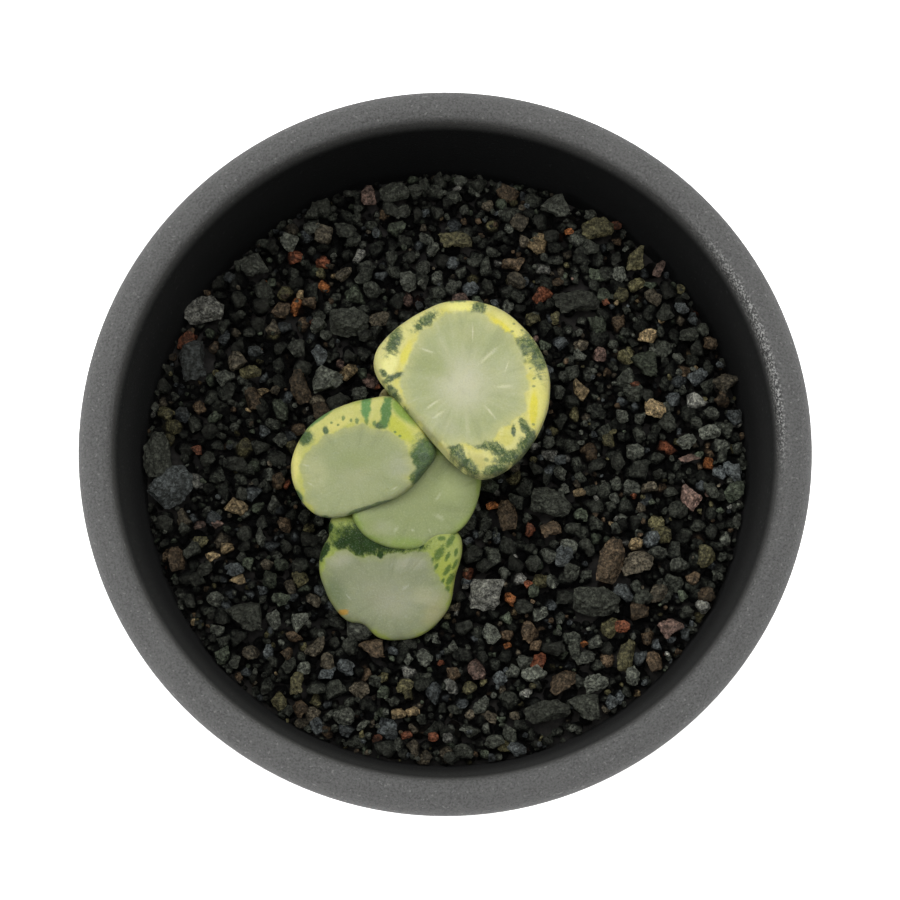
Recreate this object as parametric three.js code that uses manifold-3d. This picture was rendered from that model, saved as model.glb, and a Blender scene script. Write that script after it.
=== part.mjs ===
// A potted haworthia: four stout leaves with flat, window-like tips, on a short rooted stem, set off-centre
// in dark volcanic grit in a round, thick-rimmed plastic pot.
//
// Millimetres, +Z up. The origin is the centre of the pot's foot, on the surface that it stands on. The
// plant's lowest leaf leans towards -Y, which is the front.
import * as THREE from "three";
import { mergeVertices } from "three/addons/utils/BufferGeometryUtils.js";
import Module from "manifold-3d";

const wasm = await Module();
wasm.setup();

// ---------------------------------------------------------------- driving dimensions

const potHeight = 65;
const rimRadius = 37.5;
const rimBandHeight = 9;
const rimDraft = 0.35; // the band is this much narrower at its lower edge
const bodyRadiusUnderRim = 34.6;
const footRadius = 24.6;
const footRingWidth = 3.2;
const footRecess = 2.2; // the floor's underside stands this far above the surface
const floorTop = 5;
const wallTopRadius = 33.9; // inside face, at the foot of the rim's rounding
const innerRounding = 1.2;
const wallTop = potHeight - innerRounding - 0.05;
const wallFootRadius = 23.9; // inside face, at the top of the bevel where it meets the floor
const footBevel = 1.5;
const potSides = 56;

const soilLevel = 53; // mean height of the grit
const clearance = 0.3; // between pieces that touch
const gritSize = 3.0; // width of one grain of the relief
const gritRelief = 0.8;

const stemCentre = new THREE.Vector3(-2.75, -2.75, 42);
const stemRadius = 2.6;
const rootCount = 6;
const rootLength = 24;

// A leaf rises from `foot` on the stem to `crown`, the middle of its window. The window leans `tilt`
// degrees from level, towards the bearing `towards`, and the leaf below it is centred `setBack` uphill from
// there. Bearings turn from +X to +Y. The outline is an ellipse, `halfLong` along the bearing `turned`, with
// flatter sides, each given as its distance from the middle and the bearing that it faces.
const leaves = [
  {
    name: "leaf_back",
    foot: [-0.55, 1.45, 43],
    crown: [1.65, 5.95, 65.6],
    tilt: 4,
    towards: 60,
    setBack: 0,
    capHeight: 3.0,
    halfLong: 9.7,
    halfShort: 9.4,
    turned: 79,
    flats: [[5.85, 222]],
  },
  {
    name: "leaf_left",
    foot: [-5.55, -1.75, 43],
    crown: [-9.7, -3.15, 62.1],
    tilt: 18,
    towards: 236,
    setBack: 1.6,
    capHeight: 2.6,
    halfLong: 7.7,
    halfShort: 6.5,
    turned: 19,
    flats: [[4.7, 289]],
  },
  {
    name: "leaf_middle",
    foot: [-1.05, -3.95, 43],
    crown: [-2.7, -5.2, 60.3],
    tilt: 16,
    towards: 293,
    setBack: 0.6,
    capHeight: 2.0,
    halfLong: 7.05,
    halfShort: 5.5,
    turned: 23,
    flats: [[5.0, 113]],
  },
  {
    name: "leaf_front",
    foot: [-3.75, -6.35, 43],
    crown: [-5.3, -13.65, 56.8],
    tilt: 26,
    towards: 264,
    setBack: 1.5,
    capHeight: 2.6,
    halfLong: 8.0,
    halfShort: 7.85,
    turned: 42,
    flats: [[5.2, 84], [6.5, 346]],
  },
];

// ---------------------------------------------------------------- helpers

const degrees = Math.PI / 180;
const up = new THREE.Vector3(0, 0, 1);
const across = new THREE.Vector3(1, 0, 0);

// A seeded random draw, from 0 to 1, that gives the same grit each time.
function randomDraw(seed) {
  let state = seed;
  return () => {
    state = (Math.imul(state, 1664525) + 1013904223) >>> 0;
    return state / 4294967296;
  };
}

function vector(values) {
  return new THREE.Vector3(...values);
}

// The unit vector that leans `tilt` degrees from straight up, towards a bearing.
function leaning(tilt, towards) {
  const out = Math.sin(tilt * degrees);
  return new THREE.Vector3(
    out * Math.cos(towards * degrees),
    out * Math.sin(towards * degrees),
    Math.cos(tilt * degrees),
  );
}

// Corners less than a micrometre apart become one, so that the skin is closed.
function toSolid(geometry) {
  const bare = new THREE.BufferGeometry();
  bare.setAttribute("position", geometry.getAttribute("position").clone());
  bare.setIndex(geometry.index);
  const merged = mergeVertices(bare, 1e-3);
  return new wasm.Manifold(
    new wasm.Mesh({
      numProp: 3,
      vertProperties: merged.attributes.position.array,
      triVerts: new Uint32Array(merged.index.array),
    }),
  );
}

function toGeometry(solid) {
  const mesh = solid.getMesh();
  const geometry = new THREE.BufferGeometry();
  const positions = new THREE.BufferAttribute(mesh.vertProperties, mesh.numProp);
  geometry.setAttribute("position", positions);
  geometry.setIndex(new THREE.BufferAttribute(mesh.triVerts, 1));
  geometry.computeVertexNormals();
  return geometry;
}

// Cutting can leave a loose crumb in a corner between two leaves: only the main body is kept.
function largestPart(solid) {
  const parts = solid.decompose();
  return parts.reduce((largest, part) => (part.volume() > largest.volume() ? part : largest));
}

// A closed solid of revolution about Z. The profile runs from the axis, outwards and up, back to the axis.
function turned(profile, sides) {
  const points = profile.map(([radius, height]) => new THREE.Vector2(radius, height));
  return toSolid(new THREE.LatheGeometry(points, sides).rotateX(90 * degrees));
}

// A closed skin through rings of points, all with the same count, with a point at each end.
function skinned(rings, startPoint, endPoint) {
  const count = rings[0].length;
  const points = [startPoint, ...rings.flat(), endPoint];
  const last = points.length - 1;
  const at = (ring, i) => 1 + ring * count + (i % count);
  const faces = [];
  for (let i = 0; i < count; i++) {
    faces.push(0, at(0, i + 1), at(0, i));
    faces.push(last, at(rings.length - 1, i), at(rings.length - 1, i + 1));
    for (let ring = 0; ring + 1 < rings.length; ring++) {
      faces.push(at(ring, i), at(ring, i + 1), at(ring + 1, i + 1));
      faces.push(at(ring, i), at(ring + 1, i + 1), at(ring + 1, i));
    }
  }
  const geometry = new THREE.BufferGeometry().setFromPoints(points);
  geometry.setIndex(faces);
  return toSolid(geometry);
}

// Directions across a section whose normal is `along`: the first lies over +X, the second over +Y.
function sectionAxes(along) {
  const first = across.clone().addScaledVector(along, -across.dot(along)).normalize();
  return [first, new THREE.Vector3().crossVectors(along, first)];
}

// ---------------------------------------------------------------- pot

// Profile points on an elliptical arc, between two angles in degrees.
function arcPoints([middleRadius, middleHeight], [halfWidth, halfHeight], from, to, steps) {
  return Array.from({ length: steps + 1 }, (_, i) => {
    const angle = (from + ((to - from) * i) / steps) * degrees;
    return [middleRadius + halfWidth * Math.cos(angle), middleHeight + halfHeight * Math.sin(angle)];
  });
}

function makePot() {
  const outerRounding = 2.4;
  const outerDrop = 3.0;
  const profile = [
    [0, footRecess],
    [footRadius - footRingWidth - 0.4, footRecess],
    [footRadius - footRingWidth, 0],
    [footRadius - 0.5, 0],
    [footRadius, 0.5],
    [bodyRadiusUnderRim, potHeight - rimBandHeight],
    [rimRadius - rimDraft - 0.4, potHeight - rimBandHeight + 0.2],
    [rimRadius - rimDraft, potHeight - rimBandHeight + 0.8],
    ...arcPoints([rimRadius - outerRounding, potHeight - outerDrop], [outerRounding, outerDrop], 0, 90, 5),
    ...arcPoints([wallTopRadius + innerRounding, wallTop], [innerRounding, innerRounding], 90, 180, 3),
    [wallFootRadius, floorTop + footBevel],
    [wallFootRadius - footBevel, floorTop],
    [0, floorTop],
  ];
  return drainHoles().reduce((pot, hole) => pot.subtract(hole), turned(profile, potSides));
}

// A middle hole and a ring of smaller ones in the floor, and notches across the foot ring.
function drainHoles() {
  const middleHoleRadius = 4.2;
  const sideHoleRadius = 2.6;
  const sideHoleCircle = 14;
  const sideHoles = 6;
  const notchWidth = 7;
  const through = 4 * floorTop;
  const cutters = [new THREE.CylinderGeometry(middleHoleRadius, middleHoleRadius, through, 20)];
  for (let i = 0; i < sideHoles; i++) {
    const angle = (i * 360 * degrees) / sideHoles;
    const hole = new THREE.CylinderGeometry(sideHoleRadius, sideHoleRadius, through, 14);
    hole.translate(sideHoleCircle * Math.cos(angle), 0, sideHoleCircle * Math.sin(angle));
    cutters.push(hole);
  }
  const uprights = cutters.map((cutter) => cutter.rotateX(90 * degrees));
  const notches = [45, 135].map((bearing) => {
    const bar = new THREE.BoxGeometry(2.2 * footRadius, notchWidth, 2 * (footRecess - 0.6));
    return bar.rotateZ(bearing * degrees);
  });
  return [...uprights, ...notches].map(toSolid);
}

// ---------------------------------------------------------------- leaves

// The outline's radius on a bearing: an ellipse met by flatter sides, with the corners rounded.
function outlineRadius(leaf, bearing) {
  const cornerSharpness = 9;
  const fromLong = bearing - leaf.turned * degrees;
  const nearness = leaf.flats.map(([distance, facing]) =>
    Math.max(0, Math.cos(bearing - facing * degrees) / distance),
  );
  nearness.push(Math.hypot(Math.cos(fromLong) / leaf.halfLong, Math.sin(fromLong) / leaf.halfShort));
  const sum = nearness.reduce((total, near) => total + near ** cornerSharpness, 0);
  return sum ** (-1 / cornerSharpness);
}

function outlineRing(leaf, centre, along, share, grow, sides) {
  const [first, second] = sectionAxes(along);
  return Array.from({ length: sides }, (_, i) => {
    const bearing = (i * 360 * degrees) / sides;
    const radius = outlineRadius(leaf, bearing) * share + grow;
    return centre
      .clone()
      .addScaledVector(first, radius * Math.cos(bearing))
      .addScaledVector(second, radius * Math.sin(bearing));
  });
}

// The column swells from its foot to the crown, which closes with a rounded shoulder and a near-flat window.
function makeLeaf(leaf, grow = 0) {
  const sides = 24;
  const columnSteps = 7;
  const capSteps = 5;
  const capSquareness = 2.7;
  const footShare = 0.4;
  const facing = leaning(leaf.tilt, leaf.towards);
  const downhill = leaning(leaf.tilt + 90, leaf.towards);
  const foot = vector(leaf.foot);
  const crown = vector(leaf.crown);
  const neck = crown
    .clone()
    .addScaledVector(facing, -leaf.capHeight)
    .addScaledVector(downhill, -leaf.setBack);
  const rise = neck.distanceTo(foot);
  const spine = new THREE.CubicBezierCurve3(
    foot,
    foot.clone().addScaledVector(up, 0.3 * rise),
    neck.clone().addScaledVector(facing, -0.35 * rise),
    neck,
  );
  const rings = [];
  for (let i = 0; i <= columnSteps; i++) {
    const way = i / columnSteps;
    const share = footShare + (1 - footShare) * way ** 1.4;
    rings.push(outlineRing(leaf, spine.getPoint(way), spine.getTangent(way), share, grow, sides));
  }
  for (let i = 1; i < capSteps; i++) {
    const turn = (i / capSteps) * 90 * degrees;
    const share = Math.cos(turn) ** (2 / capSquareness);
    const height = (leaf.capHeight + grow) * Math.sin(turn) ** (2 / capSquareness);
    const centre = neck
      .clone()
      .addScaledVector(facing, height)
      .addScaledVector(downhill, leaf.setBack * (1 - share));
    rings.push(outlineRing(leaf, centre, facing, share, grow * share, sides));
  }
  const start = foot.clone().addScaledVector(up, -grow);
  return skinned(rings, start, crown.clone().addScaledVector(facing, grow));
}

// ---------------------------------------------------------------- stem and roots

function makeRoot(bearing, startRadius, grow) {
  const steps = 6;
  const sides = 6;
  const spread = 9;
  const outwards = new THREE.Vector3(Math.cos(bearing), Math.sin(bearing), 0);
  const start = stemCentre.clone().addScaledVector(up, -1);
  const path = new THREE.QuadraticBezierCurve3(
    start,
    start.clone().addScaledVector(outwards, spread).addScaledVector(up, -0.3 * rootLength),
    start.clone().addScaledVector(outwards, spread).addScaledVector(up, -rootLength),
  );
  const rings = Array.from({ length: steps + 1 }, (_, i) => {
    const way = i / steps;
    const [first, second] = sectionAxes(path.getTangent(way));
    const radius = startRadius * (1 - 0.6 * way) + grow;
    return Array.from({ length: sides }, (_, j) => {
      const angle = (j * 360 * degrees) / sides;
      return path
        .getPoint(way)
        .addScaledVector(first, radius * Math.cos(angle))
        .addScaledVector(second, radius * Math.sin(angle));
    });
  });
  return skinned(rings, path.getPoint(0), path.getPoint(1).addScaledVector(up, -grow));
}

// A short thick stem that the leaves clasp, with fleshy roots that run down and out.
function makeStem(grow = 0) {
  const sides = 14;
  const profile = [
    [0, -3 - grow],
    [0.6 * stemRadius + grow, -3 - grow],
    [stemRadius + grow, -1],
    [stemRadius + grow, 2.5],
    [0.6 * stemRadius + grow, 5.5 + grow],
    [0, 5.5 + grow],
  ];
  const stem = turned(profile, sides).translate(stemCentre.toArray());
  let rooted = stem;
  for (let i = 0; i < rootCount; i++) {
    const bearing = ((i + 0.35) * 360 * degrees) / rootCount;
    rooted = rooted.add(makeRoot(bearing, 1.4, grow));
  }
  return rooted;
}

// ---------------------------------------------------------------- grit

// A slab whose top is a field of six-sided grains, each a low facet-sided lump with its own height and lean.
function gritSlab(draw) {
  const reach = wallTopRadius + gritSize;
  const grainRadius = gritSize / Math.sqrt(3);
  const rowPitch = 1.5 * grainRadius;
  const rows = Math.ceil(reach / rowPitch);
  const columns = Math.ceil(reach / gritSize);
  const corners = new Map();
  const cornerAt = (x, y) => {
    const key = `${Math.round((2 * x) / gritSize)},${Math.round((2 * y) / grainRadius)}`;
    if (!corners.has(key)) {
      const shift = 0.3 * gritSize;
      const z = soilLevel - gritRelief * (0.5 + 0.5 * draw());
      corners.set(key, [x + shift * (draw() - 0.5), y + shift * (draw() - 0.5), z]);
    }
    return corners.get(key);
  };
  const positions = [];
  const edges = new Map();
  for (let row = -rows; row <= rows; row++) {
    for (let column = -columns; column <= columns; column++) {
      const x = (column + (row & 1) / 2) * gritSize;
      const y = row * rowPitch;
      const tip = [
        x + 0.35 * gritSize * (draw() - 0.5),
        y + 0.35 * gritSize * (draw() - 0.5),
        soilLevel + gritRelief * (0.1 + 0.9 * draw()),
      ];
      for (let side = 0; side < 6; side++) {
        const [from, to] = [side, side + 1].map((corner) => {
          const bearing = (corner * 60 + 30) * degrees;
          return cornerAt(x + grainRadius * Math.cos(bearing), y + grainRadius * Math.sin(bearing));
        });
        positions.push(...tip, ...from, ...to);
        const key = [from, to].map((corner) => corner.join()).sort().join(";");
        edges.set(key, edges.has(key) ? null : [from, to]);
      }
    }
  }
  // Each edge that only one grain has belongs to the slab's border: it gets a wall and a share of the base.
  const base = soilLevel - 4;
  for (const edge of edges.values()) {
    if (edge) {
      const [from, to] = edge;
      const [fromBase, toBase] = [from, to].map(([x, y]) => [x, y, base]);
      positions.push(...from, ...fromBase, ...toBase, ...from, ...toBase, ...to);
      positions.push(0, 0, base, ...toBase, ...fromBase);
    }
  }
  const geometry = new THREE.BufferGeometry();
  geometry.setAttribute("position", new THREE.Float32BufferAttribute(positions, 3));
  return toSolid(geometry);
}

// Larger stones lie half sunk among the grit, clear of the leaves and of the wall.
function makeStone(x, y, size, draw) {
  const stone = new THREE.IcosahedronGeometry(0.5 * size, 0);
  stone.scale(0.85 + 0.4 * draw(), 0.85 + 0.4 * draw(), 0.7 + 0.3 * draw());
  stone.rotateX(draw() * 180 * degrees);
  stone.rotateZ(draw() * 360 * degrees);
  stone.translate(x, y, soilLevel + 0.2 * size);
  return toSolid(stone);
}

function scatterStones(draw) {
  const wanted = 36;
  const margin = 1.2;
  const spots = [];
  while (spots.length < wanted) {
    const size = 2.4 + 1.8 * draw() ** 2;
    const radius = Math.sqrt(draw()) * (wallRadiusAt(soilLevel) - 0.5 * size - margin);
    const bearing = draw() * 360 * degrees;
    const spot = { x: radius * Math.cos(bearing), y: radius * Math.sin(bearing), size };
    const clearOf = (other, gap) => Math.hypot(spot.x - other.x, spot.y - other.y) > gap;
    const clearOfStones = spots.every((other) => clearOf(other, 0.5 * (size + other.size) + margin));
    const clearOfLeaves = leaves.every((leaf) =>
      clearOf({ x: leaf.crown[0], y: leaf.crown[1] }, leaf.halfLong + 0.5 * size + margin),
    );
    if (clearOfStones && clearOfLeaves) {
      spots.push(spot);
    }
  }
  return spots.map(({ x, y, size }) => makeStone(x, y, size, draw));
}

function wallRadiusAt(height) {
  const bevelTop = floorTop + footBevel;
  const share = (height - bevelTop) / (wallTop - bevelTop);
  return wallFootRadius + (wallTopRadius - wallFootRadius) * share;
}

// The grit fills the pot to just inside its wall. Only the top few millimetres are cut to the relief.
function makeSoil(plantRooms) {
  const draw = randomDraw(7);
  const bottom = floorTop + clearance;
  const bevelTop = floorTop + footBevel + clearance;
  const seam = soilLevel - 3;
  const above = soilLevel + 4;
  const fill = turned(
    [
      [0, bottom],
      [wallFootRadius - footBevel - clearance, bottom],
      [wallRadiusAt(bevelTop) - clearance, bevelTop],
      [wallRadiusAt(seam) - clearance, seam],
      [0, seam],
    ],
    potSides,
  );
  const topLimit = turned(
    [
      [0, seam - 0.5],
      [wallRadiusAt(seam - 0.5) - clearance, seam - 0.5],
      [wallRadiusAt(above) - clearance, above],
      [0, above],
    ],
    potSides,
  );
  const bed = fill.add(gritSlab(draw).intersect(topLimit));
  const stony = scatterStones(draw).reduce((grit, stone) => grit.add(stone), bed);
  return largestPart(plantRooms.reduce((grit, room) => grit.subtract(room), stony));
}

// ---------------------------------------------------------------- assembly

const plastic = new THREE.MeshStandardMaterial({ color: 0x3a3b3c, roughness: 0.6, metalness: 0 });
const grit = new THREE.MeshStandardMaterial({ color: 0x2b2926, roughness: 0.95, metalness: 0 });
const leafGreen = new THREE.MeshStandardMaterial({ color: 0xb9c68c, roughness: 0.45, metalness: 0 });
const rootFlesh = new THREE.MeshStandardMaterial({ color: 0xb59f7c, roughness: 0.8, metalness: 0 });

const group = new THREE.Group();

function addPiece(name, solid, material) {
  const mesh = new THREE.Mesh(toGeometry(solid), material);
  mesh.name = name;
  group.add(mesh);
}

// Each leaf clasps the stem and presses against the leaves above it, so it is cut back clear of them.
const stem = makeStem();
const stemRoom = makeStem(clearance);
const leafRooms = leaves.map((leaf) => makeLeaf(leaf, clearance));
const leafSolids = leaves.map((leaf, i) =>
  leafRooms.slice(0, i).reduce((solid, room) => solid.subtract(room), makeLeaf(leaf).subtract(stemRoom)),
);

addPiece("pot", makePot(), plastic);
addPiece("soil", makeSoil([stemRoom, ...leafRooms]), grit);
addPiece("stem_and_roots", stem, rootFlesh);
leaves.forEach((leaf, i) => addPiece(leaf.name, leafSolids[i], leafGreen));

export default group;
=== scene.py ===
import math
import random
from collections import namedtuple

import bpy
import numpy as np
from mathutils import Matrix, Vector


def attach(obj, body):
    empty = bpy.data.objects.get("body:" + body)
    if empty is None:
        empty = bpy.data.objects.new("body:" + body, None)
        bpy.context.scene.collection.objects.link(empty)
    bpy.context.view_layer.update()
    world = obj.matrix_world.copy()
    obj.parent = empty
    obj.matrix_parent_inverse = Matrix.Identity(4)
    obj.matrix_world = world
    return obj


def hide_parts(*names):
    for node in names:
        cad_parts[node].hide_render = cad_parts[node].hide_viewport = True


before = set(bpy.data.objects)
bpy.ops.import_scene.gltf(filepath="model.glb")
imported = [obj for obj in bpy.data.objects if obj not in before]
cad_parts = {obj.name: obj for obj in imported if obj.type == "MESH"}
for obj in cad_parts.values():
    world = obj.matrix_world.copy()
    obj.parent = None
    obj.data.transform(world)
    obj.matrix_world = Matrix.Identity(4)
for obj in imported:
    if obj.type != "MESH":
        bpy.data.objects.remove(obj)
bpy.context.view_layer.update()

mm = 0.001


def clearSelection():
    bpy.ops.object.select_all(action="DESELECT")
    bpy.context.view_layer.objects.active = None


def inEditMode():
    bpy.ops.object.mode_set(mode="EDIT")
    bpy.ops.mesh.select_all(action="SELECT")


def inObjectMode():
    bpy.ops.object.mode_set(mode="OBJECT")


def pick(thing):
    clearSelection()
    thing.select_set(True)
    bpy.context.view_layer.objects.active = thing


def named(thing, name):
    thing.name = name
    thing.data.name = name
    return thing


def useModifier(thing, kind, **settings):
    pick(thing)
    modifier = thing.modifiers.new(kind.lower(), kind)
    for key, value in settings.items():
        setattr(modifier, key, value)
    bpy.ops.object.modifier_apply(modifier=modifier.name)


def outwardNormals(thing):
    pick(thing)
    inEditMode()
    bpy.ops.mesh.remove_doubles(threshold=0.00001)
    bpy.ops.mesh.normals_make_consistent(inside=False)
    inObjectMode()


def smoothed(thing, angle):
    pick(thing)
    bpy.ops.object.shade_smooth_by_angle(angle=math.radians(angle))


def joined(things):
    clearSelection()
    for thing in things:
        thing.select_set(True)
    bpy.context.view_layer.objects.active = things[0]
    bpy.ops.object.join()
    return bpy.context.object


# Keeps a value for each point of a mesh, for its material to read.
def noted(thing, name, kind, values):
    attribute = thing.data.attributes.new(name, kind, "POINT")
    attribute.data.foreach_set("vector" if kind == "FLOAT_VECTOR" else "value", values)


def startRing(name, sides, radius):
    clearSelection()
    bpy.ops.mesh.primitive_circle_add(vertices=sides, radius=radius * mm)
    return named(bpy.context.object, name)


# Starts a ring round Z, then pulls it through each radius and height (mm) in turn.
def drawnRound(name, profile, sides):
    radius, height = profile[0]
    thing = startRing(name, sides, radius)
    inEditMode()
    bpy.ops.transform.translate(value=(0, 0, height * mm))
    for nextRadius, nextHeight in profile[1:]:
        rise = (nextHeight - height) * mm
        bpy.ops.mesh.extrude_region_move(TRANSFORM_OT_translate={"value": (0, 0, rise)})
        wider = nextRadius / radius
        bpy.ops.transform.resize(value=(wider, wider, 1), center_override=(0, 0, nextHeight * mm))
        radius, height = nextRadius, nextHeight
    inObjectMode()
    return thing


def selectOpenEdges():
    bpy.ops.mesh.select_all(action="DESELECT")
    bpy.ops.mesh.select_mode(type="EDGE")
    bpy.ops.mesh.select_non_manifold()


# Puts a face over each open end.
def closeEnds():
    selectOpenEdges()
    bpy.ops.mesh.edge_face_add()
    bpy.ops.mesh.select_mode(type="VERT")


def turnRing(axis, angle, middle):
    if abs(angle) > 0.0001:
        bpy.ops.transform.rotate(value=-angle, orient_axis=axis, center_override=middle)


# Pulls the selected ring along a path, through the middle (mm), direction and size of each step.
def pullAlong(rings):
    place, size, pitch, roll = Vector(), 1, 0, 0
    for i, (middle, along, share) in enumerate(rings):
        middle = middle * mm
        step = tuple(middle - place)
        if i:
            bpy.ops.mesh.extrude_region_move(TRANSFORM_OT_translate={"value": step})
        else:
            bpy.ops.transform.translate(value=step)
        bpy.ops.transform.resize(value=(share / size,) * 3, center_override=middle)
        nextPitch, nextRoll = math.atan2(-along.y, along.z), math.asin(along.x)
        turnRing("X", -pitch, middle)
        turnRing("Y", nextRoll - roll, middle)
        turnRing("X", nextPitch, middle)
        place, size, pitch, roll = middle, share, nextPitch, nextRoll


def bezier(points, way):
    rest = 1 - way
    weights = (rest ** 3, 3 * rest * rest * way, 3 * rest * way * way, way ** 3)
    slopes = (-3 * rest * rest, 3 * rest * (rest - 2 * way), 3 * way * (2 * rest - way), 3 * way * way)
    place = sum((p * w for p, w in zip(points, weights)), Vector())
    slope = sum((p * s for p, s in zip(points, slopes)), Vector())
    return place, slope.normalized()


def arc(middle, size, fromAngle, toAngle, steps):
    points = []
    for i in range(steps + 1):
        angle = math.radians(fromAngle + (toAngle - fromAngle) * i / steps)
        points.append((middle[0] + size[0] * math.cos(angle), middle[1] + size[1] * math.sin(angle)))
    return points


# A socket that can be added to, multiplied and so on, as if it were a number.
class Wire:
    def __init__(self, tree, socket=None):
        self.tree = tree
        self.socket = socket

    # Adds a node: its settings first, then a value or another wire for each input.
    def node(self, kind, settings=None, inputs=None, output=0):
        made = self.tree.nodes.new("ShaderNode" + kind)
        for key, value in (settings or {}).items():
            setattr(made, key, value)
        for key, value in (inputs or {}).items():
            if isinstance(value, Wire):
                self.tree.links.new(value.socket, made.inputs[key])
            else:
                made.inputs[key].default_value = value
        return Wire(self.tree, made.outputs[output])

    def paint(self, tone):
        made = self.node("RGB")
        made.socket.default_value = (*tone, 1)
        return made

    def maths(self, operation, *values):
        return self.node("Math", {"operation": operation}, dict(enumerate(values)))

    def __add__(self, other):
        return self.maths("ADD", self, other)

    __radd__ = __add__

    def __sub__(self, other):
        return self.maths("SUBTRACT", self, other)

    def __rsub__(self, other):
        return self.maths("SUBTRACT", other, self)

    def __mul__(self, other):
        return self.maths("MULTIPLY", self, other)

    __rmul__ = __mul__

    def __neg__(self):
        return self.maths("MULTIPLY", self, -1)

    def over(self, other):
        return self.maths("MAXIMUM", self, other)

    # 0 below the first value, 1 above the second, smooth in between.
    def ramp(self, low, high):
        settings = {"interpolation_type": "SMOOTHSTEP"}
        return self.node("MapRange", settings, {"Value": self, "From Min": low, "From Max": high})

    # This colour where the factor is 0, the other where it is 1.
    def mixed(self, factor, other):
        if not isinstance(other, Wire):
            other = (*other, 1)
        return self.node("Mix", {"data_type": "RGBA"}, {0: factor, 6: self, 7: other}, output=2)

    def vectorMaths(self, operation, *values, output=0):
        return self.node("VectorMath", {"operation": operation}, dict(enumerate(values)), output)

    def times(self, other):
        return self.vectorMaths("MULTIPLY", self, other)

    def plus(self, other):
        return self.vectorMaths("ADD", self, other)

    def unit(self):
        return self.vectorMaths("NORMALIZE", self)

    def length(self):
        return self.vectorMaths("LENGTH", self, output="Value")

    def noise(self, scale, detail, roughness):
        inputs = {"Vector": self, "Scale": scale, "Detail": detail, "Roughness": roughness}
        return self.node("TexNoise", {}, inputs)


def newMaterial(name, **constants):
    material = bpy.data.materials.new(name)
    material.use_nodes = True
    shader = material.node_tree.nodes["Principled BSDF"]
    for key, value in constants.items():
        shader.inputs[key.replace("_", " ")].default_value = value
    return material, shader, Wire(material.node_tree)


def drive(shader, name, wire):
    wire.tree.links.new(wire.socket, shader.inputs[name])


def bumped(start, shader, height, distance, strength=1.0):
    inputs = {"Height": height, "Distance": distance, "Strength": strength}
    drive(shader, "Normal", start.node("Bump", {}, inputs))


def shaded(tone, by):
    return tuple(min(1, by * part) for part in tone)


pot = {
    "sides": 160,
    "rimRadius": 37.5,
    "bandTaper": 0.35,
    "footRadius": 24.6,
    "wallTop": 33.9,
    "wallFoot": 23.9,
    "wallSlope": 0.1786,  # of the wall, which the painted shade inside follows
    "drainHoles": 6,
    "drainReach": 14,
    "drainRadius": 2.6,
    "notchBearings": (45, 135),
    "notchWidth": 7,
    "notchHeight": 1.6,
    "plastic": (0.134, 0.134, 0.132),
    "dusty": (0.20, 0.20, 0.195),
    # painted shade for the inside of the wall, and dark specks among the painted glints
    "paintedDark": (0.0015, 0.002, 0.0025),
    "grain": 4300,  # of the moulded texture, per metre
}


def makePot():
    rim, foot = pot["rimRadius"], pot["footRadius"]
    band = rim - pot["bandTaper"]
    profile = [  # across the underside, round the foot and up the outside
        (4.2, 2.2), (12, 2.2), (foot - 3.7, 2.2), (foot - 3.25, 0.15), (foot - 2.9, 0), (foot - 0.7, 0),
        (foot - 0.2, 0.15), (foot, 0.6), (foot + 0.12, 1.2), (34.45, 55.3), (34.6, 55.85), (34.9, 56.0),
        (band - 0.65, 56.05), (band - 0.2, 56.25), (band, 56.8), (band + 0.06, 57.6), (rim - 0.02, 61.2),
    ]
    profile += arc((rim - 2.4, 62.0), (2.4, 2.95), 8, 88, 12)  # over the rim
    profile += [(rim - 2.52, 64.96), (rim - 2.62, 64.93), (rim - 2.7, 64.87), (rim - 2.8, 64.84)]
    profile += arc((pot["wallTop"] + 0.95, 63.55), (0.95, 1.28), 80, 180, 9)
    profile += [(33.2, 60), (32.55, 56.5), (31.9, 53), (pot["wallFoot"], 6.6)]
    profile += [(23.4, 5.5), (22.4, 5), (4.2, 5)]
    body = drawnRound("blackPot", profile, pot["sides"])
    pick(body)
    inEditMode()
    selectOpenEdges()
    bpy.ops.mesh.bridge_edge_loops()
    bpy.ops.mesh.select_mode(type="VERT")
    inObjectMode()
    reach, radius = pot["drainReach"] * mm, pot["drainRadius"] * mm
    for i in range(pot["drainHoles"]):
        angle = 2 * math.pi * i / pot["drainHoles"]
        clearSelection()
        place = (reach * math.cos(angle), reach * math.sin(angle), 3.5 * mm)
        bpy.ops.mesh.primitive_cylinder_add(vertices=32, radius=radius, depth=8 * mm, location=place)
        cutAway(body, bpy.context.object)
    for bearing in pot["notchBearings"]:
        clearSelection()
        bpy.ops.mesh.primitive_cube_add(size=1, rotation=(0, 0, math.radians(bearing)))
        bar = bpy.context.object
        bar.scale = (54 * mm, pot["notchWidth"] * mm, 2 * pot["notchHeight"] * mm)
        cutAway(body, bar)
    outwardNormals(body)
    smoothed(body, 38)
    return body


def cutAway(body, cutter):
    useModifier(body, "BOOLEAN", operation="DIFFERENCE", solver="EXACT", object=cutter)
    bpy.data.objects.remove(cutter)


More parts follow.
